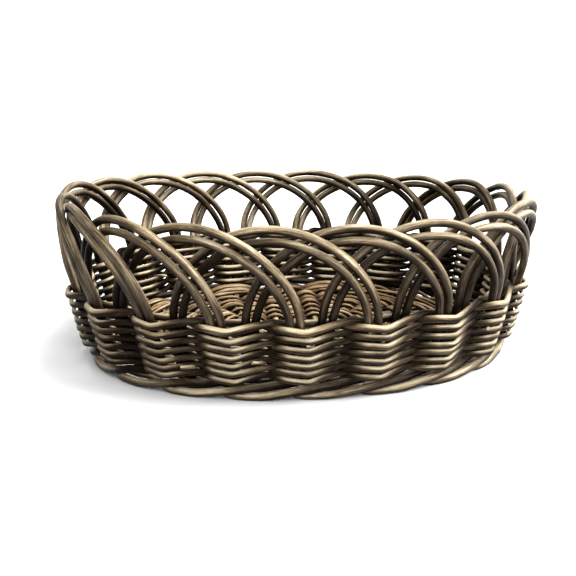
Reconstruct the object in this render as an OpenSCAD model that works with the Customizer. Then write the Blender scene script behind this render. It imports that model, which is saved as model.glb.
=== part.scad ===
// Oval willow fruit basket: low twined wall, rolled foot and an open scalloped border.
// Origin at the middle of the surface it stands on, +X along the length, +Z up, millimetres.

/* [Rim] */
// length of the rim, between the rod centres
rim_length = 392; // [384:1:410]
// width of the rim, between the rod centres
rim_width = 316; // [308:1:330]
// height of the centre of the highest rod, taken all round
rim_height = 133.2; // [130:0.1:145]
// how much higher the border stands at the right end than at its middle height
rim_lean_long = -4.4; // [-6:0.1:6]
// how much higher it stands at the back
rim_lean_wide = -3.2; // [-6:0.1:6]
// how much higher it stands at both ends than along the sides
rim_swell = 2; // [-4:0.1:4]
// how much higher it stands on one diagonal than on the other
rim_skew = -1.9; // [-4:0.1:4]

/* [Wall] */
// height of the top of the weaving
weave_top = 65.2; // [65:0.1:68]
// length at the top of the weaving
weave_length = 375; // [370:1:385]
// width at the top of the weaving
weave_width = 312; // [306:1:320]
// length at the foot
foot_length = 348; // [336:1:352]
// width at the foot
foot_width = 262; // [258:1:276]
// squareness of the oval: 2 is an ellipse
oval_power = 2.17; // [2.05:0.01:2.3]

/* [Willow] */
// diameter of the stake rods
rod_d = 6; // [5.4:0.1:6]
// diameter of the weaving strands
strand_d = 3.4; // [3:0.1:3.4]
// diameter of the two strands of the top row
top_strand_d = 4.2; // [3.6:0.1:4.2]
// diameter of the base strands
base_strand_d = 3.2; // [2.8:0.1:3.2]
// shift of the first stake along the wall, in stake spacings
stake_shift = -0.08; // [-0.3:0.01:0.3]

/* [Hidden] */
stakes = 20;
arch_span = 3;
rod_sides = 6;
strand_sides = 5;
// stake pairs: sideways place in spacings and radial place, in the weave and above it
side_top = 0.21;
side_low = 0.17;
depth_low = 3.2;
depth_top = 5.3;
// half distance between the two rods of a pair, in the weave and in the border
half_low = 3.3;
half_top = 4.3;
arch_top = rim_height - half_top;
arch_round = 1.19;
arch_steps = 12;
row_count = 7;
row_low = 21.7;
row_pitch = 7;
row_top = weave_top - 0.5;
// base
base_z = 12;
base_half = 38;
base_row_r = 120.6;
base_row_pitch = 4.6;
base_rows = 24;
edge_row = -1;
cross_d = 6;
cross_half = 97;
cross_pitch = 18;
long_d = 3.4;
long_half = 133;
long_pitch = 9;
bore_play = 0.3;
end_d = 4;
end_reach = 92;
layer_gap = (cross_d + base_strand_d) / 2 + 0.1;
smooth = 48;

willow_dark = [0.20, 0.15, 0.11];
willow_mid = [0.33, 0.25, 0.18];
willow_light = [0.55, 0.43, 0.30];
willow_raw = [0.45, 0.33, 0.22];

// ---- the oval wall as a surface: s in stake spacings, z in mm, off outwards in mm ----
function blend(z, low, mid, top) =
    low * (z - weave_top) * (z - rim_height) / (weave_top * rim_height)
    + mid * z * (z - rim_height) / (weave_top * (weave_top - rim_height))
    + top * z * (z - weave_top) / (rim_height * (rim_height - weave_top));
function half_x(z) = blend(z, foot_length, weave_length, rim_length) / 2;
function half_y(z) = blend(z, foot_width, weave_width, rim_width) / 2;
function bulge(v) = sign(v) * pow(abs(v), 2 / oval_power);
function oval(t, a, b) = [a * bulge(cos(t)), b * bulge(sin(t))];
function steep(v, a) = sign(v) * pow(abs(v) / a, oval_power - 1) / a;
function unit(v) = v / norm(v);
function outward(p, a, b) = unit([steep(p[0], a), steep(p[1], b)]);

// arc length round the top of the weaving, measured once from the middle of the front
turn_from = -90;
turn_step = 2;
turn_count = 180;
ring_pts = [for (i = [0:turn_count]) oval(turn_from + i * turn_step, weave_length / 2, weave_width / 2)];
function run(i, acc) = i > turn_count ? acc
    : run(i + 1, concat(acc, [acc[i - 1] + norm(ring_pts[i] - ring_pts[i - 1])]));
ring_run = run(1, [0]);
girth = ring_run[turn_count];
spacing = girth / stakes;
run_to_turn = [for (i = [0:turn_count]) [ring_run[i], turn_from + i * turn_step]];
function wrap(v) = v - floor(v);
function turn_at(s) = lookup(wrap((s + stake_shift) / stakes) * girth, run_to_turn);

// k = [s, off, z]
function face_at(k) = let (a = half_x(k[2]), b = half_y(k[2]), p = oval(turn_at(k[0]), a, b))
    concat(outward(p, a, b), [0]);
// the border is not level all round
function rim_rise(t, z) = min(max((z - weave_top) / (rim_height - weave_top), 0), 1)
    * (rim_lean_long * cos(t) + rim_lean_wide * sin(t) + rim_swell * cos(2 * t) + rim_skew * sin(2 * t));
function place(k) = let (t = turn_at(k[0]), a = half_x(k[2]), b = half_y(k[2]), p = oval(t, a, b))
    concat(p + k[1] * outward(p, a, b), [k[2] + rim_rise(t, k[2])]);

// ---- a rod swept along points, kept square to the wall ----
function along(pts, i, loop) = let (m = len(pts),
        a = loop ? (i + m - 1) % m : max(i - 1, 0), b = loop ? (i + 1) % m : min(i + 1, m - 1))
    unit(pts[b] - pts[a]);
function up_at(pts, faces, i, loop) = unit(cross(faces[i], along(pts, i, loop)));
function ups(pts, faces, loop) = [for (i = [0:len(pts) - 1]) up_at(pts, faces, i, loop)];
function section(p, t, u, r, sides) = let (v = cross(t, u))
    [for (j = [0:sides - 1]) let (q = (j + 0.5) * 360 / sides) p + r * (cos(q) * u + sin(q) * v)];
function rod_points(pts, up, r, sides, loop) =
    [for (i = [0:len(pts) - 1]) each section(pts[i], along(pts, i, loop), up[i], r, sides)];
function skin(rings, sides, first, loop) =
    [for (i = [0:rings - (loop ? 1 : 2)]) for (j = [0:sides - 1])
        let (a = first + i * sides, b = first + ((i + 1) % rings) * sides, k = (j + 1) % sides)
        each [[a + j, b + j, b + k], [a + j, b + k, a + k]]];
function cap(start, sides, flip) = [for (j = [1:sides - 2])
    flip ? [start, start + j + 1, start + j] : [start, start + j, start + j + 1]];
function rod_faces(rings, sides, first) = concat(skin(rings, sides, first, false),
    cap(first, sides, false), cap(first + (rings - 1) * sides, sides, true));

// ---- stake pairs ----
function soft(v) = let (c = min(max(v, 0), 1)) c * c * (3 - 2 * c);
// from inside at the rise to outside at the landing, changing fastest at the top
function cross_over(c) = c * (2.2 - 1.9 * c * c + 0.7 * c * c * c * c);
arch_depth_z = 64.2;
arch_depth_run = 25;
function depth(z) = depth_low + (depth_top - depth_low) * soft((z - arch_depth_z) / arch_depth_run);
gap_z = 50.2;
gap_run = 40;
function half_gap(z) = half_low + (half_top - half_low) * soft((z - gap_z) / gap_run);
function arch_knot(n, a) = let (c = -cos(a), z = weave_top + (arch_top - weave_top) * pow(sin(a), arch_round))
    [n + arch_span / 2 + (arch_span / 2 - side_top) * c, cross_over(c) * depth(z), z];
side_mid = side_top - 0.015;
// heights where a pair stands in the weave: rising behind it, and falling in front of it
rise_z = [22.4, 40.2, 58.2];
fall_z = [58.2, 38.2, 17.4];
function rise_knots(n) = [[n + side_low, -depth_low, rise_z[0]], [n + side_low, -depth_low, rise_z[1]],
    [n + side_mid, -depth_low, rise_z[2]]];
function fall_knots(n) = [[n - side_mid, depth_low, fall_z[0]], [n - side_low, depth_low, fall_z[1]],
    [n - side_low, depth_low, fall_z[2]]];
function pair_knots(n) = concat(rise_knots(n), [for (i = [0:arch_steps]) arch_knot(n, i * 180 / arch_steps)],
    fall_knots(n + arch_span));
function places(knots) = [for (k = knots) place(k)];
function faces_of(knots) = [for (k = knots) face_at(k)];
// side = 1 is the outer rod of the arch, -1 the inner one
function shifted(knots, side) = let (pts = places(knots), faces = faces_of(knots))
    [for (i = [0:len(pts) - 1]) pts[i] + side * half_gap(knots[i][2]) * up_at(pts, faces, i, false)];

// the outer rod starts under the foot of its neighbours and winds up round the base
rest_z = rod_d / 2 * cos(180 / rod_sides);
foot_knots = [[-3.15, -4, rest_z], [-2.45, -4, rest_z], [-2.25, 1.5, rest_z], [-2, 4.8, rest_z],
    [-1.7, 5.2, rest_z], [-1.37, 5.2, 6.2], [-1.03, 5.2, 9.2], [-0.8, 4, 11.2], [-0.6, 1.5, 12.6], [-0.4, -1.8, 13.6],
    [-0.15, -3.1, 14.8], [0.04, -3.2, 17.6]];
function foot_run(n) = [for (k = foot_knots) [k[0] + n, k[1], k[2]]];
// the inner rod ends between the two layers of the base
tuck_knots = [[-31, base_z], [-15.5, base_z], [-8, 13.2], [-3.6, 17]];
function tuck_run(n) = [for (k = tuck_knots) [n + side_low + half_low / spacing, k[0], k[1]]];

function outer_rod(n) = concat(places(foot_run(n)), shifted(pair_knots(n), 1));
function inner_rod(n) = concat(places(tuck_run(n)), shifted(pair_knots(n), -1));
function outer_ups(n) = ups(outer_rod(n), faces_of(concat(foot_run(n), pair_knots(n))), false);
// the tucked end turns inwards, so its sections stay square to the run of the wall
function inner_ups(n) = let (m = len(tuck_knots),
        all = ups(inner_rod(n), faces_of(concat(tuck_run(n), pair_knots(n))), false))
    concat([for (k = tuck_run(n)) cross(face_at(k), [0, 0, 1])], [for (i = [m:len(all) - 1]) all[i]]);

module stake_pair(n) {
    outer = outer_rod(n);
    inner = inner_rod(n);
    r = rod_d / 2;
    color(willow_dark)
        polyhedron(
            points = concat(rod_points(outer, outer_ups(n), r, rod_sides, false),
                rod_points(inner, inner_ups(n), r, rod_sides, false)),
            faces = concat(rod_faces(len(outer), rod_sides, 0),
                rod_faces(len(inner), rod_sides, len(outer) * rod_sides)),
            convexity = 8);
}

// ---- twined rows: two strands that change sides between every two stakes ----
// outside a stake a strand sags to a blunt point and climbs before it dives in,
// and the other comes out below it
sag = 2.2;
sag_at_shoulder = 1.9;
climb_after = 0.45;
// behind a stake it sags as much, so the two cover each other least
sag_inside = [0.2, 1.25, 0.85];
// places along the row, in stake spacings from the stake, of the shoulder, the point and the way in
shoulder_s = -0.32;
point_s = -0.14;
leave_s = 0.26;
shoulder = 0.97;
point = 1.2;
leave_off = 3.6;
function out_knots(z, reach, twist) = [[-0.5, 0, z - twist],
    [shoulder_s, shoulder * reach, z - sag_at_shoulder],
    [point_s, point * reach, z - sag], [leave_s, leave_off, z + climb_after]];
// the same places behind a stake
behind_s = [-0.28, 0.06, 0.3];
function in_knots(z, reach, twist) = [[-0.5, 0, z + twist], [behind_s[0], -depth_low, z - sag_inside[0]],
    [behind_s[1], -reach, z - sag_inside[1]], [behind_s[2], -reach, z - sag_inside[2]]];
function strand_knots(z, reach, twist, first) = [for (g = [0:stakes - 1])
    for (k = (g + first) % 2 == 0 ? out_knots(z, reach, twist) : in_knots(z, reach, twist))
    [k[0] + g, k[1], k[2]]];
function strand_points(knots, r) = let (pts = places(knots))
    rod_points(pts, ups(pts, faces_of(knots), true), r, strand_sides, true);

module wall_row(z, d, reach, twist, tint) {
    first = strand_knots(z, reach, twist, 0);
    second = strand_knots(z, reach, twist, 1);
    count = len(first);
    color(tint)
        polyhedron(
            points = concat(strand_points(first, d / 2), strand_points(second, d / 2)),
            faces = concat(skin(count, strand_sides, 0, true),
                skin(count, strand_sides, count * strand_sides, true)),
            convexity = 10);
}
twist_low = 1.75;
twist_top = 2.5;
strand_reach = depth_low + (rod_d + strand_d) / 2 + 0.7;
top_reach = depth_low + (rod_d + top_strand_d) / 2 + 0.45;
module plain_row(i) {
    wall_row(row_low + i * row_pitch, strand_d, strand_reach, twist_low, willow_mid);
}

// ---- base ----
module long_stick(y, d, half) {
    translate([-half, y, base_z])
        rotate([0, 90, 0])
            cylinder(h = 2 * half, d = d, $fn = smooth);
}
module base_long_sticks() {
    color(willow_dark)
        for (i = [-1:1])
            long_stick(i * long_pitch, long_d, long_half);
}
module base_cross_sticks() {
    color(willow_dark)
        for (i = [-2:2])
            difference() {
                translate([i * cross_pitch, cross_half, base_z])
                    rotate([90, 0, 0])
                        cylinder(h = 2 * cross_half, d = cross_d, $fn = smooth);
                for (j = [-1:1])
                    long_stick(j * long_pitch, long_d + bore_play, long_half);
            }
}
end_sticks = [[25, 42], [50, 28], [75, 28]];
module base_end_sticks() {
    color(willow_dark)
        for (end = [0, 1])
            for (side = [-1, 1])
                for (e = end_sticks)
                    rotate([0, 0, end * 180])
                        translate([base_half, 0, base_z])
                            rotate([0, 0, side * e[0]])
                                translate([e[1], 0, 0])
                                    rotate([0, 90, 0])
                                        cylinder(h = end_reach - e[1], d = end_d, $fn = smooth);
}
module base_loop(r, z) {
    for (end = [0, 1])
        rotate([0, 0, end * 180]) {
            translate([base_half, 0, z])
                rotate_extrude(angle = 180, start = -90, $fn = 2 * smooth)
                    translate([r, 0])
                        circle(d = base_strand_d, $fn = smooth);
            translate([-base_half, -r, z])
                rotate([0, 90, 0])
                    cylinder(h = 2 * base_half, d = base_strand_d, $fn = smooth);
        }
}
module base_rows_over() {
    color(willow_raw)
        for (i = [1:2:base_rows - 1])
            base_loop(base_row_r - i * base_row_pitch, base_z + layer_gap);
}
module base_rows_under() {
    color(willow_raw)
        for (i = [edge_row, each [0:2:base_rows - 1]])
            base_loop(base_row_r - i * base_row_pitch, base_z - layer_gap);
}

module stake_pair_01() { stake_pair(0); }
module stake_pair_02() { stake_pair(1); }
module stake_pair_03() { stake_pair(2); }
module stake_pair_04() { stake_pair(3); }
module stake_pair_05() { stake_pair(4); }
module stake_pair_06() { stake_pair(5); }
module stake_pair_07() { stake_pair(6); }
module stake_pair_08() { stake_pair(7); }
module stake_pair_09() { stake_pair(8); }
module stake_pair_10() { stake_pair(9); }
module stake_pair_11() { stake_pair(10); }
module stake_pair_12() { stake_pair(11); }
module stake_pair_13() { stake_pair(12); }
module stake_pair_14() { stake_pair(13); }
module stake_pair_15() { stake_pair(14); }
module stake_pair_16() { stake_pair(15); }
module stake_pair_17() { stake_pair(16); }
module stake_pair_18() { stake_pair(17); }
module stake_pair_19() { stake_pair(18); }
module stake_pair_20() { stake_pair(19); }
module wall_row_1() { plain_row(0); }
module wall_row_2() { plain_row(1); }
module wall_row_3() { plain_row(2); }
module wall_row_4() { plain_row(3); }
module wall_row_5() { plain_row(4); }
module wall_row_6() { plain_row(5); }
module wall_row_top() { wall_row(row_top, top_strand_d, top_reach, twist_top, willow_light); }

stake_pair_01();
stake_pair_02();
stake_pair_03();
stake_pair_04();
stake_pair_05();
stake_pair_06();
stake_pair_07();
stake_pair_08();
stake_pair_09();
stake_pair_10();
stake_pair_11();
stake_pair_12();
stake_pair_13();
stake_pair_14();
stake_pair_15();
stake_pair_16();
stake_pair_17();
stake_pair_18();
stake_pair_19();
stake_pair_20();
wall_row_1();
wall_row_2();
wall_row_3();
wall_row_4();
wall_row_5();
wall_row_6();
wall_row_top();
base_cross_sticks();
base_long_sticks();
base_end_sticks();
base_rows_over();
base_rows_under();
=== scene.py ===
"""Oval willow fruit basket: a low twined wall, a rolled foot and an open scalloped border of paired rods.

Everything is in millimetres until a mesh is built. Points on the wall are given as s, off, z. s is stake
spacings round the wall, anticlockwise seen from above and starting near the front. off is the distance
outside the wall's middle, and z is the height.
"""

import math

import bpy
import numpy as np
from mathutils import Matrix, Vector


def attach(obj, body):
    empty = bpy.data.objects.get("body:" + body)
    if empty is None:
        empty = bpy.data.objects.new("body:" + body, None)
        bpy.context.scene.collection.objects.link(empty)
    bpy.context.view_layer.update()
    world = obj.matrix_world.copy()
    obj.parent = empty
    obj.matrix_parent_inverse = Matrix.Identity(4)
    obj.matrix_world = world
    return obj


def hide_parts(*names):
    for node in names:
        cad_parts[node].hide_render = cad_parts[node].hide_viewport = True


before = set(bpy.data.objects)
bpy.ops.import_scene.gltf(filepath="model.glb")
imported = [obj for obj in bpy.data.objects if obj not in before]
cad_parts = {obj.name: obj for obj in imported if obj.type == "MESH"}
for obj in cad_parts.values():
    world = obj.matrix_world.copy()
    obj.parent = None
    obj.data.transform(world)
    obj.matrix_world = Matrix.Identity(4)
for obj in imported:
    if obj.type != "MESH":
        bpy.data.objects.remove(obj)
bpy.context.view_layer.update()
MM = 0.001
scene = bpy.context.scene

# ---------------------------------------------------------------- sizes
STAKES = 20
# an arch comes down this many stakes after it rises
SPAN = 3
# half length, half width and height of the wall's middle at the rim, at the top of the weave and at the floor
RIM_X, RIM_Y, RIM_Z = 196.0, 158.0, 133.2
WEAVE_X, WEAVE_Y, WEAVE_Z = 187.5, 156.0, 65.2
FOOT_X, FOOT_Y = 174.0, 131.0
# the rim is out of level: it leans along x and y, and swells twice round
RIM_LEAN_X, RIM_LEAN_Y, RIM_SWELL, RIM_SKEW = -4.4, -3.2, 2.0, -1.9
# exponent of the oval, where 2 is an ellipse, and the place of stake 0 from the front
OVAL = 2.17
SHIFT = -0.08
# radii: border rods, wall weavers, weavers of the top row
ROD_R, STRAND_R, TOP_R = 3.0, 1.7, 2.1
# from a stake's place to the pairs that rise and fall there, in stake spacings
SIDE_TOP, SIDE_LOW = 0.21, 0.17
# in the weave and above it: a pair's distance from the wall's middle, and a rod's from the middle of its pair
DEPTH_LOW, DEPTH_TOP = 3.2, 5.3
HALF_LOW, HALF_TOP = 3.3, 4.3
# height of the base sticks, and half the straight side of the base
BASE_Z, BASE_HALF = 12.0, 38.0


def level(z, low, mid, top):
    """A half axis at height z, on the parabola through its floor, weave top and rim values."""
    return (
        low * (z - WEAVE_Z) * (z - RIM_Z) / (WEAVE_Z * RIM_Z)
        + mid * z * (z - RIM_Z) / (WEAVE_Z * (WEAVE_Z - RIM_Z))
        + top * z * (z - WEAVE_Z) / (RIM_Z * (RIM_Z - WEAVE_Z))
    )


def oval(t, a, b):
    """Points of the oval and its outward normals."""
    c, s = np.cos(t), np.sin(t)
    x = a * np.sign(c) * np.abs(c) ** (2 / OVAL)
    y = b * np.sign(s) * np.abs(s) ** (2 / OVAL)
    return x, y, *oval_normals(x, y, a, b)


def oval_normals(x, y, a, b):
    nx = np.sign(x) * np.abs(x / a) ** (OVAL - 1) / a
    ny = np.sign(y) * np.abs(y / b) ** (OVAL - 1) / b
    n = np.hypot(nx, ny)
    return nx / n, ny / n


TURNS = np.radians(np.arange(-90.0, 270.5, 0.5))
_x, _y, _, _ = oval(TURNS, WEAVE_X, WEAVE_Y)
RUN = np.concatenate([[0.0], np.cumsum(np.hypot(np.diff(_x), np.diff(_y)))])
PITCH = RUN[-1] / STAKES


def wall(s, off, z):
    """The points at s, off, z on the wall, and the outward normals there."""
    s, off, z = np.broadcast_arrays(np.asarray(s, float), np.asarray(off, float), np.asarray(z, float))
    t = np.interp(np.mod((s + SHIFT) / STAKES, 1) * RUN[-1], RUN, TURNS)
    x, y, nx, ny = oval(t, level(z, FOOT_X, WEAVE_X, RIM_X), level(z, FOOT_Y, WEAVE_Y, RIM_Y))
    share = np.clip((z - WEAVE_Z) / (RIM_Z - WEAVE_Z), 0, 1)
    lean = RIM_LEAN_X * np.cos(t) + RIM_LEAN_Y * np.sin(t)
    rise = lean + RIM_SWELL * np.cos(2 * t) + RIM_SKEW * np.sin(2 * t)
    return np.stack([x + off * nx, y + off * ny, z + share * rise], -1), np.stack([nx, ny, 0 * nx], -1)


def outward_of(points):
    """The wall's outward direction at points anywhere near it."""
    x, y, z = points.T
    nx, ny = oval_normals(x, y, level(z, FOOT_X, WEAVE_X, RIM_X), level(z, FOOT_Y, WEAVE_Y, RIM_Y))
    return np.stack([nx, ny, 0 * nx], -1)


# ---------------------------------------------------------------- curves
def unit(v):
    return v / np.maximum(np.linalg.norm(v, axis=-1, keepdims=True), 1e-12)


def soft_step(v):
    c = np.clip(v, 0, 1)
    return c * c * (3 - 2 * c)


def fade_in(v, start, width):
    """0 up to start, rising smoothly to 1 over width."""
    return soft_step((v - start) / width)


def fade_out(v, end, width):
    """1 up to width before end, falling smoothly to 0 at end."""
    return soft_step((end - v) / width)


def spline(knots, step):
    """Points about step apart on an open centripetal Catmull-Rom curve through the knots."""
    k = np.asarray(knots, float)
    k = np.concatenate([2 * k[:1] - k[1:2], k, 2 * k[-1:] - k[-2:-1]])
    out = []
    for p0, p1, p2, p3 in zip(k[:-3], k[1:-2], k[2:-1], k[3:]):
        d = [max(np.linalg.norm(b - a), 1e-6) ** 0.5 for a, b in ((p0, p1), (p1, p2), (p2, p3))]
        t0, t1 = 0.0, d[0]
        t2 = t1 + d[1]
        t3 = t2 + d[2]
        n = max(2, int(math.ceil(np.linalg.norm(p2 - p1) / step)))
        t = np.linspace(t1, t2, n, endpoint=False)[:, None]
        a1 = (t1 - t) / (t1 - t0) * p0 + (t - t0) / (t1 - t0) * p1
        a2 = (t2 - t) / (t2 - t1) * p1 + (t - t1) / (t2 - t1) * p2
        a3 = (t3 - t) / (t3 - t2) * p2 + (t - t2) / (t3 - t2) * p3
        b1 = (t2 - t) / (t2 - t0) * a1 + (t - t0) / (t2 - t0) * a2
        b2 = (t3 - t) / (t3 - t1) * a2 + (t - t1) / (t3 - t1) * a3
        out.append((t2 - t) / (t2 - t1) * b1 + (t - t1) / (t2 - t1) * b2)
    out.append(k[-2:-1])
    return np.concatenate(out)


def even(points, step, closed=False):
    """The same curve with points evenly about step apart, and the length along it at each.
    Only the first three columns count as length."""
    p = np.concatenate([points, points[:1]]) if closed else points
    run = np.concatenate([[0.0], np.cumsum(np.linalg.norm(np.diff(p[:, :3], axis=0), axis=1))])
    n = max(4, int(round(run[-1] / step)))
    at = np.linspace(0, run[-1], n + 1)
    q = np.stack([np.interp(at, run, p[:, i]) for i in range(p.shape[1])], -1)
    return (q[:-1], at[:-1]) if closed else (q, at)


def soften(points, width, closed=False):
    """Evenly spaced points, blurred over about width points either side; open ends stay put."""
    pad = 3 * width
    w = np.exp(-0.5 * (np.arange(-pad, pad + 1) / width) ** 2)
    w /= w.sum()
    if closed:
        p = np.concatenate([points[-pad:], points, points[:pad]])
    else:
        head = 2 * points[:1] - points[1 : pad + 1][::-1]
        tail = 2 * points[-1:] - points[-pad - 1 : -1][::-1]
        p = np.concatenate([head, points, tail])
    return np.stack([np.convolve(p[:, i], w, "valid") for i in range(points.shape[1])], -1)


def tangents(points, closed=False):
    if closed:
        return unit(np.roll(points, -1, 0) - np.roll(points, 1, 0))
    return unit(np.gradient(points, axis=0))


def ripple(rng, at, wave, size):
    """Smooth random wandering along a rod: about one swing every wave mm."""
    n = int(at[-1] / wave) + 4
    k = rng.normal(0, 1, n)
    x = at / wave + 1
    i = x.astype(int)
    f = x - i
    f = f * f * (3 - 2 * f)
    return size * (k[np.minimum(i, n - 1)] * (1 - f) + k[np.minimum(i + 1, n - 1)] * f)


# ---------------------------------------------------------------- rods as meshes
# how far a rod's section is from round, in shares of its radius: a wandering oval, ridges and fine ridges
OVALNESS, OVAL_WAVE = 0.035, 38.0
RIDGES, RIDGE_SIZE, RIDGE_TWIST = 5, 0.012, 0.02
FINE_RIDGES, FINE_SIZE = 9, 0.008
# how far apart the grain of different rods lies in the noise
GRAIN_ROUND, GRAIN_ACROSS = 7.3, -4.1
# a cut end: how askew it is, then how far in and out each edge lies, in shares of the rod's radius
CUT_LEAN, CUT_SLOPE, CUT_LEAST = 0.25, 0.9, 0.3
BEVEL_IN, BEVEL_OUT = 0.97, 0.12
FLAT_IN, FLAT_OUT, MIDDLE_OUT = 0.82, 0.24, 0.26
FLAT_GRAIN = 0.8


class Bundle:
    """Rods gathered into one mesh, with what the willow material reads at each vertex. grain is the place
    round and along the rod, in radii. look is wear with painted highlights and painted shade, the rod's own
    shade of colour and fresh end grain."""

    def __init__(self):
        self.v, self.f, self.grain, self.look = [], [], [], []
        self.count = 0

    def add(self, verts, faces, grain, look):
        self.v.append(verts)
        self.f.extend((f + self.count) for f in faces)
        self.grain.append(grain)
        self.look.append(look)
        self.count += len(verts)

    def rod(self, points, at, face, radius, rng, sides, closed=False, rub_and_shading=0.0, flat=1.0, up=None):
        """face is the outward normal at each point. radius may vary along the rod. It is measured along up,
        which is square to the rod and to face if not given. flat is the other radius as a share of it. The
        extra wear given at each point also carries painted highlights and painted shade."""
        n = len(points)
        t = tangents(points, closed)
        u = unit(np.cross(face, t)) if up is None else unit(up)
        w = unit(np.cross(t, u))
        q = (np.arange(sides) + 0.5) * 2 * math.pi / sides
        r = np.broadcast_to(np.asarray(radius, float), (n,))[:, None]
        r = r * (1 + OVALNESS * ripple(rng, at, OVAL_WAVE, 1.0)[:, None] * np.cos(2 * q + rng.uniform(0, 6)))
        ridges = RIDGE_SIZE * np.cos(RIDGES * q + rng.uniform(0, 6) + RIDGE_TWIST * at[:, None])
        fine_ridges = FINE_SIZE * np.cos(FINE_RIDGES * q + rng.uniform(0, 6))
        r = r * (1 + ridges + fine_ridges)
        normal = np.cos(q)[None, :, None] * u[:, None] + np.sin(q)[None, :, None] * w[:, None]
        flat = np.broadcast_to(np.asarray(flat, float), (n,))[:, None, None]
        squash = (flat - 1) * np.sin(q)[None, :, None]
        ring = points[:, None] + r[:, :, None] * (normal + squash * w[:, None])
        out = np.einsum("ijk,ik->ij", normal, face)
        # faces turned up get a painted highlight and undersides painted shade, added to wear on outward faces
        worn_and_lit = self.wear_and_shading(out, normal[:, :, 2]) + np.broadcast_to(np.asarray(rub_and_shading, float), (n,))[:, None]
        shade = rng.normal(0, 1)
        mean = float(np.mean(radius))
        grain = np.empty((n, sides, 3))
        grain[:, :, 0] = np.cos(q) + GRAIN_ROUND * shade
        grain[:, :, 1] = np.sin(q) + GRAIN_ACROSS * shade
        grain[:, :, 2] = at[:, None] / mean
        look = np.stack([worn_and_lit, np.full((n, sides), shade), np.zeros((n, sides))], -1)
        i = np.arange(n if closed else n - 1)[:, None]
        j = np.arange(sides)[None, :]
        k = (j + 1) % sides
        this, after = i * sides, (i + 1) % n * sides
        quads = np.stack([this + j, after + j, after + k, this + k], -1).reshape(-1, 4)
        self.add(ring.reshape(-1, 3), list(quads), grain.reshape(-1, 3), look.reshape(-1, 3))
        if not closed:
            for i, way in ((0, -t[0]), (-1, t[-1])):
                self.end(ring[i], points[i], way, grain[i], look[i], i == 0, mean, rng)

    def wear_and_shading(self, out, up):
        """Wear where the surface faces out of (or into) the basket, with a painted highlight on faces turned
        up and painted shade on the undersides. Each kind of rod has its own.
        """
        return np.clip(0.16 + 0.27 * np.abs(out) + 0.62 * up, 0, 1)

    def end(self, ring, centre, way, grain, look, first, r, rng):
        """A cut end: a small bevel, then the flat of the cut, a little askew."""
        sides = len(ring)
        lean = unit(way + CUT_LEAN * rng.normal(0, 1, 3))
        spread = ring - centre
        slope = -(spread @ lean) / max(float(way @ lean), CUT_LEAST) * CUT_SLOPE
        rim = centre + spread * BEVEL_IN + way * (BEVEL_OUT * r + slope)[:, None]
        inner = centre + spread * FLAT_IN + way * (FLAT_OUT * r + slope * FLAT_IN)[:, None]
        mid = (centre + way * MIDDLE_OUT * r)[None]
        verts = np.concatenate([ring, rim, inner, inner, mid])
        fresh = look.copy()
        fresh[:, 2] = 1.0
        looks = np.concatenate([look, look, look, fresh, fresh[:1]])
        cut_grain = grain * np.array([FLAT_GRAIN, FLAT_GRAIN, 1.0])
        grains = np.concatenate([grain, grain, grain, cut_grain, grain[:1]])
        grains[-1, :2] = grain[:, :2].mean(0)
        faces = []
        for a in (0, sides):
            for j in range(sides):
                k = (j + 1) % sides
                faces.append([a + j, a + sides + j, a + sides + k, a + k])
        for j in range(sides):
            faces.append([3 * sides + j, 4 * sides, 3 * sides + (j + 1) % sides])
        self.add(verts, [np.array(f[::-1] if first else f) for f in faces], grains, looks)

    def build(self, name, material, replaced, slot):
        mesh = bpy.data.meshes.new(name)
        verts = np.concatenate(self.v) * MM
        sizes = np.array([len(f) for f in self.f], np.int32)
        loops = np.concatenate(self.f).astype(np.int32)
        mesh.vertices.add(len(verts))
        mesh.vertices.foreach_set("co", verts.astype(np.float32).ravel())
        mesh.loops.add(len(loops))
        mesh.loops.foreach_set("vertex_index", loops)
        mesh.polygons.add(len(sizes))
        mesh.polygons.foreach_set("loop_start", np.concatenate([[0], np.cumsum(sizes)[:-1]]).astype(np.int32))
        mesh.polygons.foreach_set("loop_total", sizes)
        mesh.update(calc_edges=True)
        mesh.validate()
        mesh.polygons.foreach_set("use_smooth", np.ones(len(mesh.polygons), bool))
        for key, data in (("grain", np.concatenate(self.grain)), ("look", np.concatenate(self.look))):
            a = mesh.attributes.new(key, "FLOAT_VECTOR", "POINT")
            a.data.foreach_set("vector", data.astype(np.float32).ravel())
        obj = bpy.data.objects.new(name, mesh)
        scene.collection.objects.link(obj)
        mesh.materials.append(material)
        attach(obj, "root")
        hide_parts(replaced)


# ---------------------------------------------------------------- material
# linear colours, from unworn stain to bare wood; the value that picks them also carries painted shade and
# painted highlights, so the darkest mostly show painted shade and the palest partly painted highlights
BLACK = (0.004, 0.0024, 0.0012)
STAIN = (0.0135, 0.008, 0.0032)
BROWN = (0.050, 0.033, 0.015)
TAN = (0.195, 0.143, 0.076)
PALE = (0.46, 0.385, 0.26)
BASE_BROWN = (0.075, 0.038, 0.013)
BASE_TAN = (0.26, 0.16, 0.068)
WALL_COLOURS = (BLACK, STAIN, BROWN, TAN, PALE)
BASE_COLOURS = (BLACK, STAIN, BASE_BROWN, BASE_TAN, PALE)
PORE_DARKENING = (0.32, 0.25, 0.2)
PITH = (0.20, 0.13, 0.07)
FRESH_WOOD = (0.62, 0.50, 0.34)
# noises along the rod: how fine, how drawn out along it, detail, roughness
STREAK = (2.6, 0.05, 4.0, 0.6)
FINE = (7.0, 0.12, 3.0, 0.6)
PATCH = (0.55, 0.16, 3.0, 0.55)
FLECK = (3.4, 0.55, 2.0, 0.5)
# how much the rod's own shade and the noises add to the value of wear and painted light
SHADE_SHARE, STREAK_SHARE, PATCH_SHARE, FINE_SHARE = 0.045, 0.9, 1.0, 0.35
# how much each raises the surface, and the whole relief: strength, and depth in metres
STREAK_RELIEF, FINE_RELIEF, PORE_RELIEF = 0.7, 0.45, -0.35
RELIEF, RELIEF_DEPTH = 0.55, 0.00035


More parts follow.
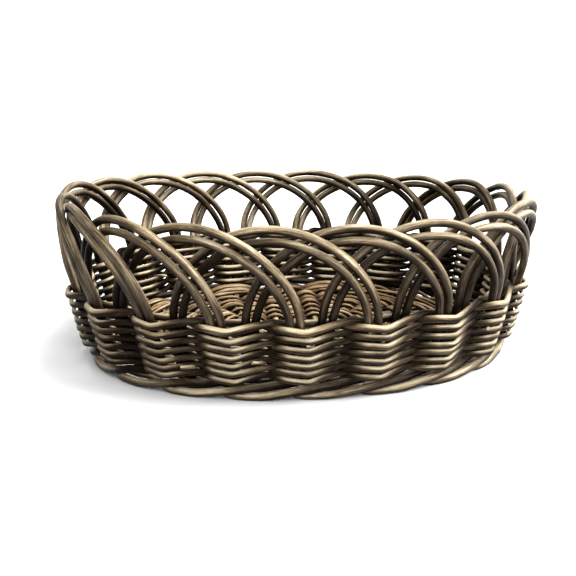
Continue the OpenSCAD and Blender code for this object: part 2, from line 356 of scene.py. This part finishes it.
def node(tree, kind, **values):
    """A new node. in_NAME or in_NUMBER sets an input; anything else is an attribute of the node."""
    n = tree.nodes.new(kind)
    for k, v in values.items():
        if k.startswith("in_"):
            key = k[3:].replace("_", " ")
            n.inputs[int(key) if key.isdigit() else key].default_value = v
        else:
            setattr(n, k, v)
    return n


def link(tree, a, b):
    tree.links.new(a, b)


def remap(tree, source, low, high, to_low, to_high):
    """source, with low to high stretched to to_low to to_high and held there."""
    n = node(tree, "ShaderNodeMapRange", in_1=low, in_2=high, in_3=to_low, in_4=to_high)
    link(tree, source, n.inputs[0])
    return n.outputs[0]


def math_node(tree, op, a, b=None, c=None, clamp=False):
    """One operation on up to three numbers or sockets."""
    n = node(tree, "ShaderNodeMath", operation=op, use_clamp=clamp)
    for i, x in enumerate((a, b, c)):
        if x is None:
            continue
        if isinstance(x, (int, float)):
            n.inputs[i].default_value = x
        else:
            link(tree, x, n.inputs[i])
    return n.outputs[0]


def willow(name, colours, places, shift, rough):
    """Stained willow: dark stain rubbed back to bare wood where hands and cloth reach, streaks along the rod,
    pores, pale cut ends. The value that picks the colour also carries painted highlights on upper faces and
    painted shade below and between parts. places says at what value of wear and painted light each colour
    lies. shift is wear that all rods of a kind share."""
    m = bpy.data.materials.new(name)
    m.use_nodes = True
    t = m.node_tree
    t.nodes.clear()
    grain = node(t, "ShaderNodeAttribute", attribute_name="grain")
    look = node(t, "ShaderNodeAttribute", attribute_name="look")
    split = node(t, "ShaderNodeSeparateXYZ")
    link(t, look.outputs["Vector"], split.inputs[0])
    wear_and_shading, shade, fresh = split.outputs

    def noise(scale, stretch, detail, roughness):
        mul = node(t, "ShaderNodeVectorMath", operation="MULTIPLY", in_1=(scale, scale, scale * stretch))
        link(t, grain.outputs["Vector"], mul.inputs[0])
        n = node(t, "ShaderNodeTexNoise", in_Scale=1.0, in_Detail=detail, in_Roughness=roughness)
        link(t, mul.outputs[0], n.inputs["Vector"])
        return n.outputs["Fac"]

    streak, fine, patch, fleck = noise(*STREAK), noise(*FINE), noise(*PATCH), noise(*FLECK)

    # wear, with painted highlights and painted shade, picks the colour
    f = math_node(t, "ADD", wear_and_shading, shift)
    f = math_node(t, "MULTIPLY_ADD", shade, SHADE_SHARE, f)
    f = math_node(t, "MULTIPLY_ADD", math_node(t, "SUBTRACT", streak, 0.5), STREAK_SHARE, f)
    f = math_node(t, "MULTIPLY_ADD", math_node(t, "SUBTRACT", patch, 0.5), PATCH_SHARE, f)
    f = math_node(t, "MULTIPLY_ADD", math_node(t, "SUBTRACT", fine, 0.5), FINE_SHARE, f, clamp=True)
    ramp = node(t, "ShaderNodeValToRGB")
    ramp.color_ramp.interpolation = "EASE"
    while len(ramp.color_ramp.elements) < len(colours):
        ramp.color_ramp.elements.new(0.5)
    for e, place, colour in zip(ramp.color_ramp.elements, places, colours):
        e.position = place
        e.color = (*colour, 1)
    link(t, f, ramp.inputs[0])

    # dark flecks where stain sits in the pores
    pores = remap(t, fleck, 0.62, 0.74, 0.0, 0.6)
    dark = node(t, "ShaderNodeMix", data_type="RGBA", blend_type="MULTIPLY")
    link(t, pores, dark.inputs[0])
    link(t, ramp.outputs[0], dark.inputs[6])
    dark.inputs[7].default_value = (*PORE_DARKENING, 1)
    # cut ends: pale wood with darker grain
    cut = node(t, "ShaderNodeMix", data_type="RGBA")
    link(t, fresh, cut.inputs[0])
    link(t, dark.outputs[2], cut.inputs[6])
    end_grain = node(t, "ShaderNodeValToRGB")
    end_grain.color_ramp.elements[0].color = (*PITH, 1)
    end_grain.color_ramp.elements[1].color = (*FRESH_WOOD, 1)
    link(t, fine, end_grain.inputs[0])
    link(t, end_grain.outputs[0], cut.inputs[7])

    # gloss follows the same value: bare wood and painted highlights are glossier, deep stain and painted
    # shade duller, and streaks vary the roughness
    bsdf = node(t, "ShaderNodeBsdfPrincipled")
    link(t, cut.outputs[2], bsdf.inputs["Base Color"])
    link(t, remap(t, streak, 0.3, 0.7, rough - 0.09, rough + 0.16), bsdf.inputs["Roughness"])
    link(t, remap(t, f, 0.1, 0.8, 0.03, 0.36), bsdf.inputs["Specular IOR Level"])

    h = math_node(t, "MULTIPLY_ADD", streak, STREAK_RELIEF, math_node(t, "MULTIPLY", fine, FINE_RELIEF))
    h = math_node(t, "MULTIPLY_ADD", pores, PORE_RELIEF, h)
    bump = node(t, "ShaderNodeBump", in_Strength=RELIEF, in_Distance=RELIEF_DEPTH)
    link(t, h, bump.inputs["Height"])
    link(t, bump.outputs[0], bsdf.inputs["Normal"])
    out = node(t, "ShaderNodeOutputMaterial")
    link(t, bsdf.outputs[0], out.inputs[0])
    return m


stake_willow = willow("stained_willow_stakes", WALL_COLOURS, (0.0, 0.3, 0.55, 0.8, 1.0), 0.05, 0.40)
strand_willow = willow("stained_willow_strands", WALL_COLOURS, (0.0, 0.25, 0.5, 0.75, 1.0), 0.12, 0.46)
top_willow = willow("stained_willow_top_row", WALL_COLOURS, (0.0, 0.2, 0.42, 0.66, 1.0), 0.19, 0.44)
base_willow = willow("stained_willow_base", BASE_COLOURS, (0.0, 0.3, 0.52, 0.78, 1.0), 0.0, 0.5)


# ---------------------------------------------------------------- stake pairs
# how sharply an arch rises: under 1 it is squarer, over 1 more pointed
ARCH_POWER = 1.19
# heights of the knots where a pair rises and falls, in and just above the weave
RISE_Z = (22.4, 40.2, 58.2)
FALL_Z = (58.2, 38.2, 17.4)
# the rod that makes the foot runs under the wall from three stakes back: s, off, z
FOOT_RUN = np.array(
    [
        [-3.15, -4.3, 5.2], [-2.8, -4.3, 5.2], [-2.52, -4.2, 7], [-2.36, -2.2, 6.4], [-2.2, 2, 3.8],
        [-2, 4.8, 3], [-1.7, 5.2, 3.2], [-1.37, 5.2, 6.2], [-1.03, 5.2, 9.2], [-0.8, 4, 11.2],
        [-0.6, 1.5, 11.7], [-0.4, -1.8, 12.1], [-0.15, -3.1, 13.6], [0.04, -3.2, 17.6],
    ]
)
# at the back and the left its tail and its rise lie higher, so that less light shows through
FOOT_TAIL, TAIL_LIFT, RISE_LIFT = 3, 1.2, 3
# the other rod is tucked between the base rows: off, z
TUCK_RUN = np.array([[-31, BASE_Z], [-15.5, BASE_Z], [-8, 13.2], [-3.6, 17]])
TUCK_TURN = SIDE_LOW + HALF_LOW / PITCH
# the two rods of a pair lie this share closer together at the back
BACK_CLOSER = 0.22
# hand-made unevenness: each arch's height and lean, and the wander of its rods along and out of the wall
LIFT_VARIES, LEAN_VARIES = 0.7, 0.02
WANDER_ALONG, WANDER_OUT = (34.0, 0.28), (40.0, 0.16)
# a rod's thickness at its start, how much it tapers, its unevenness, and its knots
THICK, TAPER, UNEVEN = 1.06, 0.04, (22.0, 0.05)
KNOTS, KNOT_SIZE, KNOT_WIDTH = 5, 0.22, 3.2
# the foot rods stand on the floor, with this much room for their unevenness
FLOOR_ROOM = 1.04
# painted shade: down in the weave behind the weavers, on the half that rises inside, on the left, at the far
# right corner
WEAVE_SHADE, RISING_SHADE, LEFT_SHADE, CORNER_SHADE = 0.36, 0.32, 0.14, 0.22
# painted highlight on the half that falls outside, wear and painted highlight on the foot, painted light at
# the back and on the right
FALLING_LIGHT, FOOT_WEAR_AND_LIGHT, BACK_LIGHT, RIGHT_LIGHT = 0.12, 0.16, 0.12, 0.07


def depth(z):
    return DEPTH_LOW + (DEPTH_TOP - DEPTH_LOW) * fade_in(z, 64.2, 25)


def half_gap(z):
    return HALF_LOW + (HALF_TOP - HALF_LOW) * fade_in(z, 50.2, 40)


def pair_line(n, lift, lean):
    """The middle line of a pair: up behind the weave, over the arch, down outside the weave. s, off, z."""
    m = n + SPAN
    side_mid = SIDE_TOP - 0.015
    rise = [[n + side, -DEPTH_LOW, z] for side, z in zip((SIDE_LOW, SIDE_LOW, side_mid), RISE_Z)]
    fall = [[m - side, DEPTH_LOW, z] for side, z in zip((side_mid, SIDE_LOW, SIDE_LOW), FALL_Z)]
    a = np.linspace(0, math.pi, 33)
    c = -np.cos(a)
    top = RIM_Z - HALF_TOP + lift
    z = WEAVE_Z + (top - WEAVE_Z) * np.sin(a) ** ARCH_POWER
    s = n + SPAN / 2 + (SPAN / 2 - SIDE_TOP) * c + lean * np.sin(a) ** 2
    # from inside to outside, mostly in the middle of the arch
    off = c * (2.2 - 1.9 * c**2 + 0.7 * c**4) * depth(z)
    return np.concatenate([rise, np.stack([s, off, z], -1), fall])


def stake_rod(n, side, lift, lean):
    """One rod of pair n, from its hidden end to its end outside the weave. The rod on side 1 makes the foot.
    Returns its points and the length along it."""
    line = pair_line(n, lift, lean)
    mid, face = wall(line[:, 0], line[:, 1], line[:, 2])
    up = unit(np.cross(face, tangents(mid)))
    close = 1 - BACK_CLOSER * fade_in(mid[:, 1], -40, 120)
    main = mid + side * (half_gap(line[:, 2]) * close)[:, None] * up
    if side > 0:
        start, _ = wall(FOOT_RUN[:, 0] + n, FOOT_RUN[:, 1], FOOT_RUN[:, 2])
        lifted = np.maximum(fade_in(start[:, 1], 20, 60), fade_out(start[:, 0], -80, 40))
        start[:FOOT_TAIL, 2] += TAIL_LIFT * lifted[:FOOT_TAIL]
        start[:, 2] += RISE_LIFT * lifted * fade_in(start[:, 2], 8, 3) * fade_out(start[:, 2], 16, 2)
    else:
        start, _ = wall(n + TUCK_TURN, TUCK_RUN[:, 0], TUCK_RUN[:, 1])
    pts, _ = even(spline(np.concatenate([start, main]), 1.5), 1.5)
    return even(soften(pts, 3), 1.6)


def stake_rub_and_shading(pts, share):
    """Painted shade and painted light along a stake rod, with wear on the foot; share is how far along it
    each point lies.
    """
    x, y, z = pts.T
    # painted shade in the weave, on the rising half, on the left and at the far right corner; painted light
    # on the falling half, the back and the right; wear and painted highlight on the foot
    rub_and_shading = -WEAVE_SHADE * fade_out(z, 68, 8) * fade_in(z, 8, 5)
    rub_and_shading = rub_and_shading - RISING_SHADE * fade_in(z, 10, 8) * fade_out(share, 0.58, 0.2)
    rub_and_shading = rub_and_shading + FALLING_LIGHT * fade_in(share, 0.7, 0.15)
    rub_and_shading = rub_and_shading + FOOT_WEAR_AND_LIGHT * fade_out(z, 10, 4) + BACK_LIGHT * fade_in(y, -40, 120)
    rub_and_shading = rub_and_shading + np.where(x < 0, LEFT_SHADE, RIGHT_LIGHT) * np.sign(x) * fade_in(np.abs(x), 110, 60)
    return rub_and_shading - CORNER_SHADE * fade_in(x, 60, 60) * fade_in(y, 10, 50)


def stakes():
    for n in range(STAKES):
        rng = np.random.default_rng(100 + n)
        lift, lean = rng.normal(0, LIFT_VARIES), rng.normal(0, LEAN_VARIES)
        b = Bundle()
        for side in (1, -1):
            pts, at = stake_rod(n, side, lift, lean)
            face = outward_of(pts)
            u = unit(np.cross(face, tangents(pts)))
            free = fade_in(pts[:, 2], 68, 20)
            along = ripple(rng, at, *WANDER_ALONG) * (0.3 + 0.7 * free)
            out = ripple(rng, at, *WANDER_OUT) * free
            pts = pts + along[:, None] * u + out[:, None] * face
            length = at[-1]
            radius = ROD_R * (THICK - TAPER * at / length) + ripple(rng, at, *UNEVEN)
            for knot in rng.uniform(0.12, 0.92, KNOTS):
                radius = radius + KNOT_SIZE * np.exp(-(((at - knot * length) / KNOT_WIDTH) ** 2))
            pts[:, 2] = np.maximum(pts[:, 2], FLOOR_ROOM * radius)
            up = None
            if side < 0:
                # the tucked part runs along face itself, so its radius is measured sideways there
                tucked = (pts[:, 2] < 24) & (at < length / 2)
                up = np.where(tucked[:, None], np.cross(face, [0.0, 0.0, 1.0]), u)
            b.rod(pts, at, face, radius, rng, sides=16, rub_and_shading=stake_rub_and_shading(pts, at / length), up=up)
        b.build(f"stakes_{n + 1:02d}", stake_willow, f"stake_pair_{n + 1:02d}", "stakes")


# ---------------------------------------------------------------- twined rows
ROW_LOW_Z, ROW_PITCH, ROW_TOP_Z = 21.7, 7, 64.7
# radius, room past the stake rods, half the height between strands where they cross, place of the blunt point
WALL_ROW = (STRAND_R, 0.7, 1.75, -0.03)
TOP_ROW = (TOP_R, 0.45, 2.5, -0.07)
# a strand's upright radius as a share of its radius: least, more where it rides a stake, more at the back
SWELL, SWELL_STAKE, SWELL_BACK = 1.34, 0.05, 0.1
# its radius out of the wall as a share of its radius
STRAND_FLAT = 1.03
STRAND_UNEVEN = (30.0, 0.06)
# painted shade on the strands at the left, and darker towards the right
STRAND_SHADE_LEFT, STRAND_DARKER_RIGHT = 0.16, 0.05
# stakes behind the middle, where more of the strands' inside shows
FIRST_BACK, LAST_BACK = 5, 14
# a weaver's cut end: where it starts and stops outside the wall, and its radius and how much lighter it is
STUB_FROM, STUB_TO, STUB_R, STUB_LIGHTER = 3.0, 9.2, 1.45, 0.25
# where a new weaver was laid in: place round the wall, whether inside, and how far its tip points up
WEAVER_ENDS = [
    [(3.72, False, 0.0), (8.70, True, 0.3), (15.7, False, 0.1)],
    [(10.71, True, 0.5), (18.3, False, 0.0)],
    [(19.28, False, 0.2), (12.69, True, -0.3), (6.3, False, 0.0)],
    [(11.3, True, 0.6), (2.7, False, 0.1)],
    [(9.72, True, 0.4), (16.7, False, 0.3)],
    [(0.72, False, 0.9), (13.7, True, 0.2), (4.3, False, 0.0)],
    [],
]


def outside_knots(reach, twist, point, back, j):
    """A strand passing outside a stake: stake spacings past it, mm outside the wall, mm up. j is random."""
    shoulder, tip = (-1.9, -2.2) if back else (-0.7, -2.7)
    return [
        (-0.5, 0, -twist),
        *([(-0.42, 3.6, -0.9)] if back else []),
        (-0.32, 0.97 * reach, shoulder + 0.3 * j[0]),
        (point + 0.012 * j[3], (1.2 + 0.03 * j[1]) * reach, tip + 0.4 * j[0]),
        (0.26, 3.6, 0.45 + 0.3 * j[2]),
    ]


def inside_knots(reach, twist, back, j):
    """The same for a strand passing inside a stake."""
    return [
        (-0.5, 0, twist),
        *([(-0.42, -1.3, -1.7)] if back else []),
        (-0.28, -3.2, (-2.2 if back else -0.2) + 0.3 * j[2]),
        (0.06, -reach, -1.25 + 0.3 * j[3]),
        (0.3, -reach, -0.85 + 0.3 * j[3]),
    ]


def strand(z, reach, twist, point, first, rng):
    """One strand of a row: straight runs that bend to a blunt point outside every other stake.
    Returns its points, the length along it, and its depth outside the wall."""
    knots = []
    for g in range(STAKES):
        j = rng.normal(0, 1, 4)
        back = FIRST_BACK <= g <= LAST_BACK
        if (g + first) % 2 == 0:
            passing = outside_knots(reach, twist, point, back, j)
        else:
            passing = inside_knots(reach, twist, back, j)
        knots += [((a + g) * PITCH, off, z + up) for a, off, up in passing]
    knots = np.array(knots)
    # a few knots more at both ends, so that the strand closes smoothly
    turn = np.array([STAKES * PITCH, 0, 0])
    run = np.concatenate([knots[-6:] - turn, knots, knots[:7] + turn])
    legs = []
    for a, b in zip(run[:-1], run[1:]):
        n = max(2, int(np.linalg.norm(b - a)))
        legs.append(a + (b - a) * np.arange(0, 1, 1.0 / n)[:, None])
    p = soften(even(np.concatenate(legs), 1.0)[0], 2)
    p = p[(p[:, 0] >= knots[0, 0]) & (p[:, 0] < knots[0, 0] + turn[0] - 0.5)]
    pts, _ = wall(p[:, 0] / PITCH, p[:, 1], p[:, 2])
    q, at = even(np.concatenate([pts, p[:, 1:2]], 1), 1.5, closed=True)
    return q[:, :3], at, q[:, 3]


class StrandBundle(Bundle):
    """Strands are worn where they bulge out past a stake, outside or inside; painted shade darkens them
    towards the crossings, upper faces carry a painted highlight and undersides painted shade, and inside
    faces are painted a little lighter.
    off and reach are the strand's depth outside the wall at each point, and the most it can be."""

    off = None
    reach = None

    def wear_and_shading(self, out, up):
        side = np.sign(self.off)[:, None]
        # painted shade towards the crossings, where the strand comes level with the wall
        unshaded = np.clip(np.abs(self.off) / self.reach, 0, 1)[:, None] ** 1.2
        return 0.02 + unshaded * np.clip(-0.03 + 0.1 * (side < 0) + 0.22 * out * side + 1.0 * up, 0, 1)

    def stub(self, s, z, inside, tip, rng):
        """A weaver's cut end lying against the row."""
        side = -1 if inside else 1
        s = np.array([s + 0.10, s + 0.02, s - 0.05 * (1 - tip)])
        off = side * np.array([STUB_FROM, 7.0, STUB_TO])
        z = np.array([z - 0.3, z + 0.4 + 2 * tip, z + 0.8 + 5.5 * tip])
        pts, at = even(spline(wall(s, off, z)[0], 0.8), 0.8)
        self.off, self.reach = np.linspace(STUB_FROM, STUB_TO, len(at)) * side, 8.6
        self.rod(pts, at, outward_of(pts), STUB_R, rng, sides=10, rub_and_shading=STUB_LIGHTER)


def row(i, name, material, slot, shape):
    r, room, twist, point = shape
    rng = np.random.default_rng(300 + i)
    z = ROW_TOP_Z if shape is TOP_ROW else ROW_LOW_Z + ROW_PITCH * i
    reach = DEPTH_LOW + ROD_R + r + room
    b = StrandBundle()
    for first in (0, 1):
        pts, at, off = strand(z, reach, twist, point, first, rng)
        b.off, b.reach = off, reach
        x, y, _ = pts.T
        swell = SWELL + SWELL_STAKE * np.clip(np.abs(off) / reach, 0, 1) + SWELL_BACK * fade_in(y, 20, 60)
        radius = r * swell + ripple(rng, at, *STRAND_UNEVEN)
        # painted shade on the left, and darker towards the right
        rub_and_shading = -STRAND_SHADE_LEFT * fade_out(x, -60, 90) - STRAND_DARKER_RIGHT * fade_in(x, 40, 90)
        b.rod(pts, at, outward_of(pts), radius, rng, sides=12, closed=True, rub_and_shading=rub_and_shading, flat=STRAND_FLAT / swell)
    for s, inside, tip in WEAVER_ENDS[i]:
        b.stub(s, z, inside, tip, rng)
    b.build(f"twining_{name}", material, f"wall_row_{name}", slot)


def rows():
    for i in range(6):
        row(i, i + 1, strand_willow, "wall_strands", WALL_ROW)
    row(6, "top", top_willow, "top_strands", TOP_ROW)


# ---------------------------------------------------------------- base
# sticks across and along the base: how many either side of the middle one, spacing, half length, radius
CROSS_EACH, CROSS_PITCH, CROSS_HALF, CROSS_R = 2, 18.0, 97.0, 3.0
LONG_EACH, LONG_PITCH, LONG_HALF, LONG_R = 1, 9.0, 133.0, 1.7
# sticks that fan out at both ends: degrees off the length of the base, and distance of the near end
END_FANS = ((25, 42), (50, 28), (75, 28))
END_FAR, END_R = 92, 2.0
STICK_THIN, STICK_WANDER, STICK_UNEVEN = 0.98, (50.0, 0.15), (25.0, 0.04)
# loops of weaving: end radius of loop 0, how much smaller each next one is, and their number
LOOP_R, LOOP_STEP, LOOPS = 120.6, 4.6, 24
# radius of a weaver, how far its middle passes above or below a stick's surface, and its unevenness
WEAVER_R, WEAVER_CLEAR, WEAVER_UNEVEN = 1.75, 1.45, (26.0, 0.06)
# on the weaving: lighter per mm above the sticks' middle and darker below it, partly wear and partly painted
# highlight and painted shade; and darker everywhere
WEAVER_HEIGHT_SHADING, WEAVER_STAIN = 0.06, 0.14
LOOP_POINT = 1.5


class BaseBundle(Bundle):
    """The base is lighter on top, partly rubbed and partly a painted highlight, and painted shade keeps it
    dark on the sides and underneath.
    """

    def wear_and_shading(self, out, up):
        return np.clip(0.1 + 0.1 * np.abs(out) + 0.66 * up, 0, 1)


def parallel_sticks(each, pitch, half, r, along):
    """(start, end, radius) of sticks side by side, in the plane of the base. along is 0 for x, 1 for y."""
    out = []
    for i in range(-each, each + 1):
        start, end = (i * pitch, -half), (i * pitch, half)
        out.append((start, end, r) if along else (start[::-1], end[::-1], r))
    return out


def end_sticks():
    out = []
    for turn in (0, math.pi):
        for side in (-1, 1):
            for degrees, near in END_FANS:
                a = turn + side * math.radians(degrees)
                o = np.array([BASE_HALF * math.cos(turn), 0.0])
                d = np.array([math.cos(a), math.sin(a)])
                out.append((tuple(o + near * d), tuple(o + END_FAR * d), END_R))
    return out


def loop_line(r):
    """Points of a loop round the base, with half circles of radius r at its ends: x, y."""
    arc = np.linspace(-math.pi / 2, math.pi / 2, max(8, int(math.pi * r / LOOP_POINT)))[:-1]
    right = np.stack([BASE_HALF + r * np.cos(arc), r * np.sin(arc)], -1)
    side = np.arange(0, 1, LOOP_POINT / (2 * BASE_HALF))[:, None]
    top = np.array([BASE_HALF, r]) + side * np.array([-2 * BASE_HALF, 0])
    return np.concatenate([right, top, -right, -top])


def crossings(line, sticks):
    """Where a closed line crosses the sticks: (place along it, stick radius), in order.
    Also the place of each point of the line, and its length."""
    nxt = np.roll(line, -1, 0)
    run = np.concatenate([[0.0], np.cumsum(np.linalg.norm(nxt - line, axis=1))])
    found = []
    for a, b, r in sticks:
        a, b = np.array(a), np.array(b)
        d = b - a
        sa = d[0] * (line[:, 1] - a[1]) - d[1] * (line[:, 0] - a[0])
        sb = d[0] * (nxt[:, 1] - a[1]) - d[1] * (nxt[:, 0] - a[0])
        for k in np.nonzero(sa * sb < 0)[0]:
            f = sa[k] / (sa[k] - sb[k])
            p = line[k] + f * (nxt[k] - line[k])
            along = (p - a) @ d / (d @ d)
            if -0.01 <= along <= 1.01:
                found.append((run[k] + f * (run[k + 1] - run[k]), r))
    return sorted(found), run[:-1], run[-1]


def lay_sticks(name, sticks, rng):
    b = BaseBundle()
    for p, q, r in sticks:
        p, q = np.array([*p, BASE_Z]), np.array([*q, BASE_Z])
        pts, at = even(np.array([p, q]), 2.0)
        pts = pts + ripple(rng, at, *STICK_WANDER)[:, None] * unit(np.cross(q - p, [0, 0, 1]))
        face = np.broadcast_to(unit(np.cross([0, 0, 1], q - p)), pts.shape)
        up = np.broadcast_to([0.0, 0.0, 1.0], pts.shape)
        radius = r * STICK_THIN + ripple(rng, at, *STICK_UNEVEN)
        b.rod(pts, at, face, radius, rng, sides=14, up=up)
    b.build(name, base_willow, f"base_{name}", "base_sticks")


def weave_loop(b, i, sticks, rng):
    """Loop i of the base weaving, over and under the sticks by turns."""
    line = loop_line(LOOP_R - LOOP_STEP * i)
    found, run, length = crossings(line, sticks)
    place = np.array([f[0] for f in found])
    # the thin long sticks are passed as high as the cross sticks they go through
    high = np.array([(CROSS_R if f[1] == LONG_R else f[1]) + WEAVER_CLEAR for f in found])
    high = high * np.where((np.arange(len(found)) + i) % 2 == 0, 1, -1)
    place = np.concatenate([place[-1:] - length, place, place[:1] + length])
    high = np.concatenate([high[-1:], high, high[:1]])
    k = np.clip(np.searchsorted(place, run) - 1, 0, len(place) - 2)
    f = (run - place[k]) / np.maximum(place[k + 1] - place[k], 1e-6)
    z = BASE_Z + high[k] + (high[k + 1] - high[k]) * fade_in(f, 0.12, 0.76)
    pts, at = even(np.concatenate([line, z[:, None]], 1), 1.6, closed=True)
    pts = soften(pts, 1, closed=True)
    middle = np.clip(pts[:, 0], -BASE_HALF, BASE_HALF)
    face = unit(np.stack([pts[:, 0] - middle, pts[:, 1], 0 * at], -1))
    radius = WEAVER_R + ripple(rng, at, *WEAVER_UNEVEN)
    # lighter where a weaver rides over the sticks, darker where it dips under: partly wear, partly painted
    # highlight and painted shade
    rub_and_shading = WEAVER_HEIGHT_SHADING * (pts[:, 2] - BASE_Z) - WEAVER_STAIN
    b.rod(pts, at, face, radius, rng, sides=10, closed=True, rub_and_shading=rub_and_shading)


def base():
    cross = parallel_sticks(CROSS_EACH, CROSS_PITCH, CROSS_HALF, CROSS_R, 1)
    long_ = parallel_sticks(LONG_EACH, LONG_PITCH, LONG_HALF, LONG_R, 0)
    ends = end_sticks()
    rng = np.random.default_rng(500)
    lay_sticks("cross_sticks", cross, rng)
    lay_sticks("long_sticks", long_, rng)
    lay_sticks("end_sticks", ends, rng)
    # the outer loops also pass the tucked ends of the border rods
    tucked = []
    for n in range(STAKES):
        near, far = wall(n + TUCK_TURN, TUCK_RUN[[0, 2], 0], BASE_Z)[0][:, :2]
        tucked.append((tuple(near), tuple(far), ROD_R))
    # the three long sticks lie close together and are passed as one
    sticks = cross + long_[LONG_EACH : LONG_EACH + 1] + ends + tucked
    # one more loop, -1, lies outside loop 0
    loops = {"a": [-1, *range(0, LOOPS, 2)], "b": range(1, LOOPS, 2)}
    for part, node_name in (("a", "base_rows_under"), ("b", "base_rows_over")):
        b = BaseBundle()
        for i in loops[part]:
            weave_loop(b, i, sticks, rng)
        b.build(f"base_weave_{part}", base_willow, node_name, "base_strands")


stakes()
rows()
base()

# ---------------------------------------------------------------- floor, light and camera
FLOOR_SIDE, FLOOR_NEAR, FLOOR_FAR = 8, -4, 14
PAPER, PAPER_ROUGH, PAPER_GLOSS = (0.9, 0.9, 0.9), 0.9, 0.1
# strength of the white studio as seen from the basket along x: dim on the left, brighter on the far right
DIM_FROM, DIM_TO, DIM, BRIGHT = -0.85, -0.33, 0.05, 1.4
LAMPS_FROM, LAMPS = 0.35, 2.4
SUN_POWER, SUN_COLOUR, SUN_WIDTH, SUN_WAY = 4.0, (1.0, 0.97, 0.92), 40, (0.85, -0.2, 1.0)
FRONT_PLACE, FRONT_AIM, FRONT_SIZE, FRONT_POWER = (0.25, -1.3, 0.9), (0, 0, 0.05), 0.5, 8
# the camera's turns, in radians, and its place from the basket, in metres before it is turned by YAW
YAW, TILT, ROLL = 0.083, 0.280, -0.011
BACK, ASIDE, ABOVE = 0.6914, -0.0078, 0.2463
SENSOR, FOCAL = 36, 50.28125

paper = bpy.data.materials.new("paper_white")
paper.use_nodes = True
paper_inputs = paper.node_tree.nodes["Principled BSDF"].inputs
paper_inputs["Base Color"].default_value = (*PAPER, 1)
paper_inputs["Roughness"].default_value = PAPER_ROUGH
paper_inputs["Specular IOR Level"].default_value = PAPER_GLOSS
corners = [
    (-FLOOR_SIDE, FLOOR_NEAR, 0),
    (FLOOR_SIDE, FLOOR_NEAR, 0),
    (FLOOR_SIDE, FLOOR_FAR, 0),
    (-FLOOR_SIDE, FLOOR_FAR, 0),
]
floor_mesh = bpy.data.meshes.new("floor")
floor_mesh.from_pydata(corners, [], [(0, 1, 2, 3)])
floor_mesh.materials.append(paper)
floor = bpy.data.objects.new("floor", floor_mesh)
scene.collection.objects.link(floor)

world = bpy.data.worlds.new("studio")
scene.world = world
world.use_nodes = True
sky = world.node_tree
backdrop = sky.nodes["Background"]
backdrop.inputs[0].default_value = (1.0, 1.0, 1.0, 1)
way = node(sky, "ShaderNodeSeparateXYZ")
link(sky, node(sky, "ShaderNodeTexCoord").outputs["Generated"], way.inputs[0])
studio = remap(sky, way.outputs[0], DIM_FROM, DIM_TO, DIM, BRIGHT)
lamps = remap(sky, way.outputs[0], LAMPS_FROM, 1.0, 0.0, LAMPS)
link(sky, math_node(sky, "ADD", studio, lamps), backdrop.inputs[1])

sun = bpy.data.lights.new("sun", "SUN")
sun.energy = SUN_POWER
sun.color = SUN_COLOUR
sun.angle = math.radians(SUN_WIDTH)
sun_obj = bpy.data.objects.new("sun", sun)
sun_obj.rotation_euler = Vector(SUN_WAY).to_track_quat("Z", "Y").to_euler()
scene.collection.objects.link(sun_obj)

front = bpy.data.lights.new("front", "AREA")
front.shape = "DISK"
front.size = FRONT_SIZE
front.energy = FRONT_POWER
front_obj = bpy.data.objects.new("front", front)
front_obj.location = FRONT_PLACE
aim = np.array(FRONT_AIM, float) - np.array(FRONT_PLACE, float)
front_obj.rotation_euler = (
    math.atan2(math.hypot(aim[0], aim[1]), -aim[2]),
    0,
    math.atan2(aim[1], aim[0]) - math.pi / 2,
)
scene.collection.objects.link(front_obj)

lens = bpy.data.cameras.new("camera")
lens.sensor_width = SENSOR
lens.lens = FOCAL
lens.clip_start = 0.01
camera = bpy.data.objects.new("camera", lens)
camera_x = ASIDE * math.cos(YAW) - BACK * math.sin(YAW)
camera_y = -ASIDE * math.sin(YAW) - BACK * math.cos(YAW)
camera.matrix_world = (
    Matrix.Translation((camera_x, camera_y, ABOVE))
    @ Matrix.Rotation(-YAW, 4, "Z")
    @ Matrix.Rotation(math.pi / 2 - TILT, 4, "X")
    @ Matrix.Rotation(ROLL, 4, "Z")
)
scene.collection.objects.link(camera)
scene.camera = camera
scene.view_settings.view_transform = "Standard"
